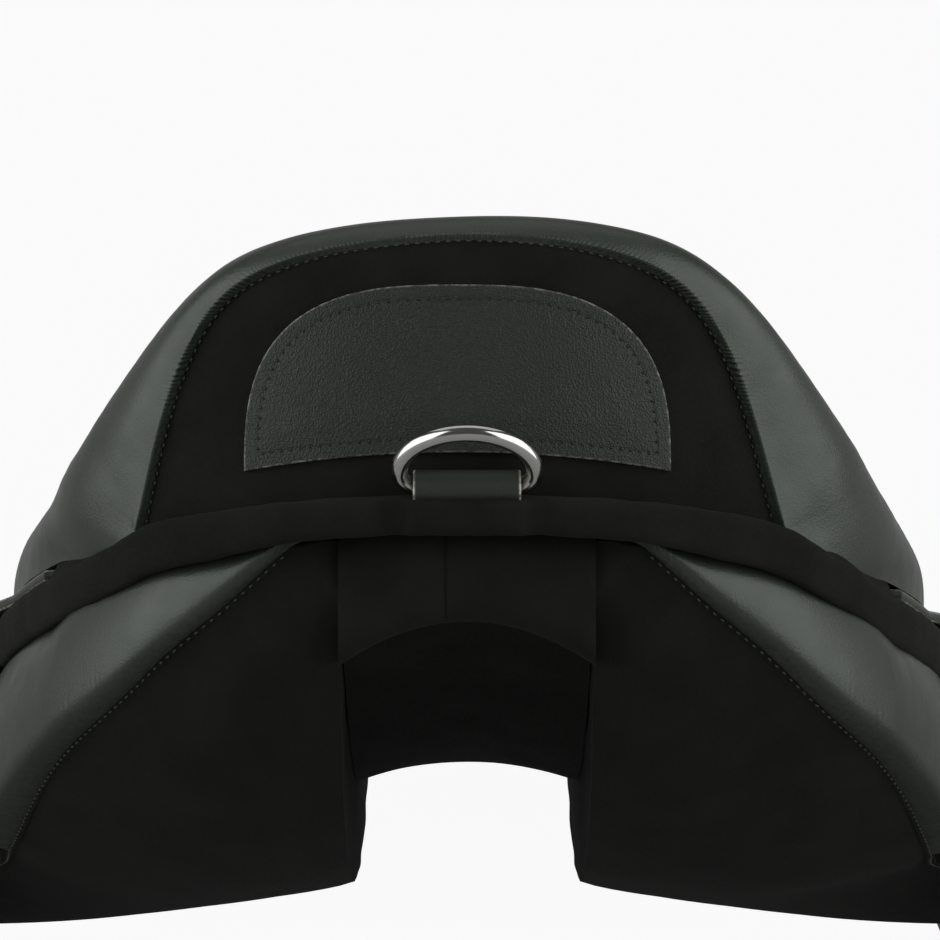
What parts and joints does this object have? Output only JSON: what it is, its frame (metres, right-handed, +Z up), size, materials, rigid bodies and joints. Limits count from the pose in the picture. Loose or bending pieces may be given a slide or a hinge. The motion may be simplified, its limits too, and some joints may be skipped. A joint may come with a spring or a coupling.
{
  "type": "english saddle",
  "caption": "Black leather English riding saddle: dished seat with a padded cantle, panels with an open gullet, flaps, skirts, girth straps, stirrup bars and chrome dees.",
  "frame": {"origin": "on the horse's spine line, level with the panels' bearing faces below the deepest seat", "axes": "+X to the saddle's right as seen from behind, +Y forward to the pommel, +Z up"},
  "size_m": [0.4908, 0.4774, 0.48],
  "materials": {
    "leather": "smooth-grain black leather with a soft sheen",
    "suede": "matte black suede",
    "chrome": "polished",
    "steel": "forged, polished",
    "spring_steel": "blued",
    "beech": "laminated, sealed",
    "foam": "closed-cell foam",
    "webbing": "strained linen web"
  },
  "bodies": {
    "saddle": {"seat_cover": "leather", "cantle_patch": "leather", "cantle_dee_chape": "leather", "cantle_back_cover": "suede", "rear_binding": "suede", "pommel_binding": "suede", "panel_bridge": "suede", "gullet_lining": "suede", "tree": "beech", "tree_cantle": "beech", "head_plate": "spring_steel", "seat_web": "webbing", "seat_foam": "foam", "rear_gusset_left": "leather", "sweat_flap_left": "leather", "knee_block_left": "leather", "thigh_block_left": "leather", "flap_top_left": "leather", "skirt_left": "leather", "front_dee_chape_left": "leather", "girth_strap_left_1": "leather", "girth_strap_left_2": "leather", "girth_strap_left_3": "leather", "panel_left": "suede", "tree_spring_left": "spring_steel", "stirrup_bar_left": "steel", "saddle_nail_left": "chrome", "rear_gusset_right": "leather", "sweat_flap_right": "leather", "knee_block_right": "leather", "thigh_block_right": "leather", "flap_top_right": "leather", "skirt_right": "leather", "front_dee_chape_right": "leather", "girth_strap_right_1": "leather", "girth_strap_right_2": "leather", "girth_strap_right_3": "leather", "panel_right": "suede", "tree_spring_right": "spring_steel", "stirrup_bar_right": "steel", "saddle_nail_right": "chrome"},
    "cantle_dee": {"cantle_dee": "chrome"},
    "front_dee_left": {"front_dee_left": "chrome"},
    "bar_catch_left": {"bar_catch_left": "steel"},
    "flap_left": {"flap_left": "leather"},
    "front_dee_right": {"front_dee_right": "chrome"},
    "bar_catch_right": {"bar_catch_right": "steel"},
    "flap_right": {"flap_right": "leather"}
  },
  "joints": [
    {"name": "cantle_dee_swing", "type": "hinge", "parent": "saddle", "child": "cantle_dee", "pos_m": [0, -0.24315, 0.1164], "axis": [1, 0, 0], "range_deg": [-42, 68]},
    {"name": "front_dee_left_swing", "type": "hinge", "parent": "saddle", "child": "front_dee_left", "pos_m": [-0.07223, 0.16657, 0.09898], "axis": [0.4353, 0.9003, 0], "range_deg": [0, 100]},
    {"name": "bar_catch_left_turn", "type": "hinge", "parent": "saddle", "child": "bar_catch_left", "pos_m": [-0.13802, 0.03238, 0.06023], "axis": [-0.6, 0, 0.8], "range_deg": [0, 75]},
    {"name": "flap_left_lift", "type": "hinge", "parent": "saddle", "child": "flap_left", "pos_m": [-0.20962, 0.06, -0.05], "axis": [0, 1, 0], "range_deg": [0, 60]},
    {"name": "front_dee_right_swing", "type": "hinge", "parent": "saddle", "child": "front_dee_right", "pos_m": [0.07223, 0.16657, 0.09898], "axis": [0.4353, -0.9003, 0], "range_deg": [0, 100]},
    {"name": "bar_catch_right_turn", "type": "hinge", "parent": "saddle", "child": "bar_catch_right", "pos_m": [0.13802, 0.03238, 0.06023], "axis": [-0.6, 0, -0.8], "range_deg": [0, 75]},
    {"name": "flap_right_lift", "type": "hinge", "parent": "saddle", "child": "flap_right", "pos_m": [0.20962, 0.06, -0.05], "axis": [0, -1, 0], "range_deg": [0, 60]}
  ]
}
